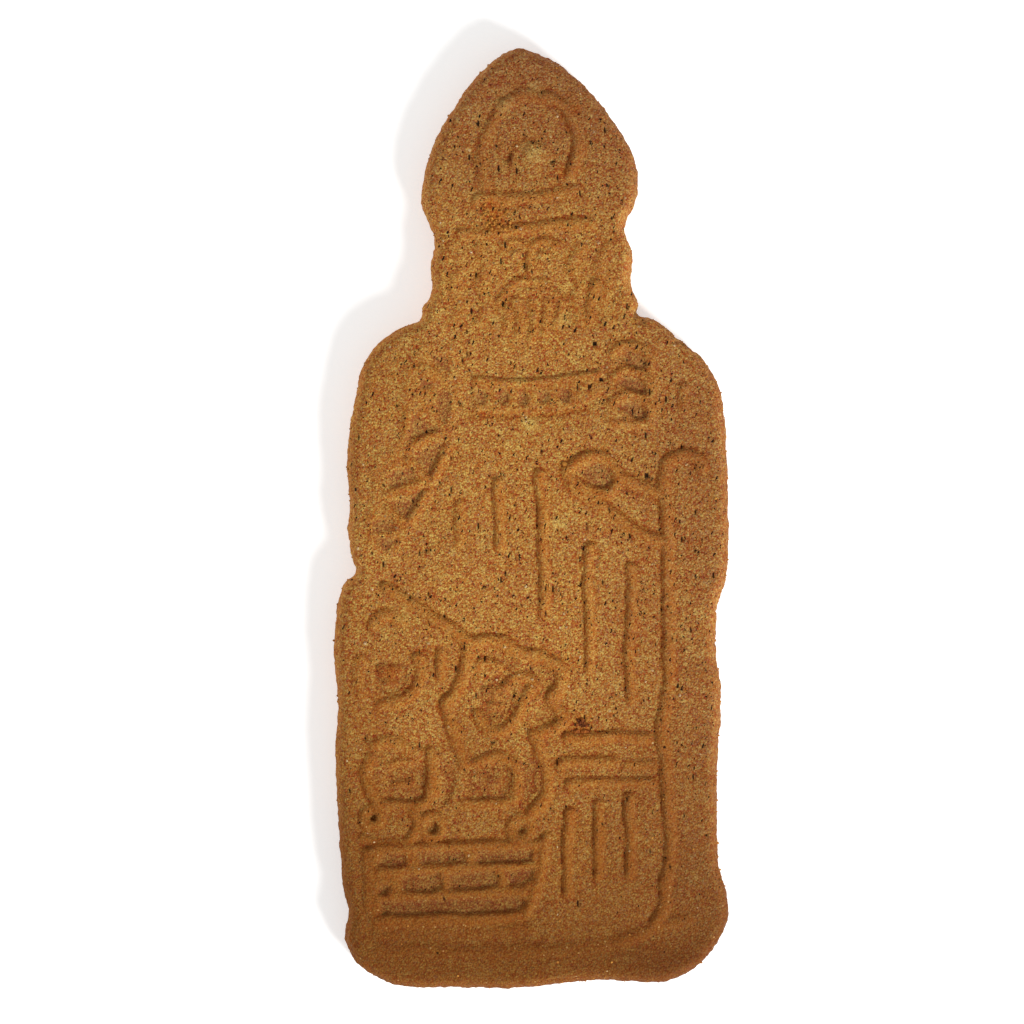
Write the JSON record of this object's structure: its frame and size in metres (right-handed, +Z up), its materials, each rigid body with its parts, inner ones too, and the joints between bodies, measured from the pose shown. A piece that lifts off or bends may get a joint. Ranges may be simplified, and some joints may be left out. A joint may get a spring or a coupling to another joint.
{
  "type": "speculoos cookie",
  "caption": "Flat moulded speculoos biscuit showing a bishop figure with a staff and a tub of children, lying face up.",
  "frame": {"origin": "middle of the underside's bounding box", "axes": "+Y from the hem of the figure to the tip of its mitre, +X to the figure's staff side, +Z up out of the moulded face"},
  "size_m": [0.063, 0.1502, 0.0082],
  "materials": {
    "baked_biscuit": "matte"
  },
  "bodies": {
    "root": {"cookie": "baked_biscuit"}
  },
  "joints": []
}
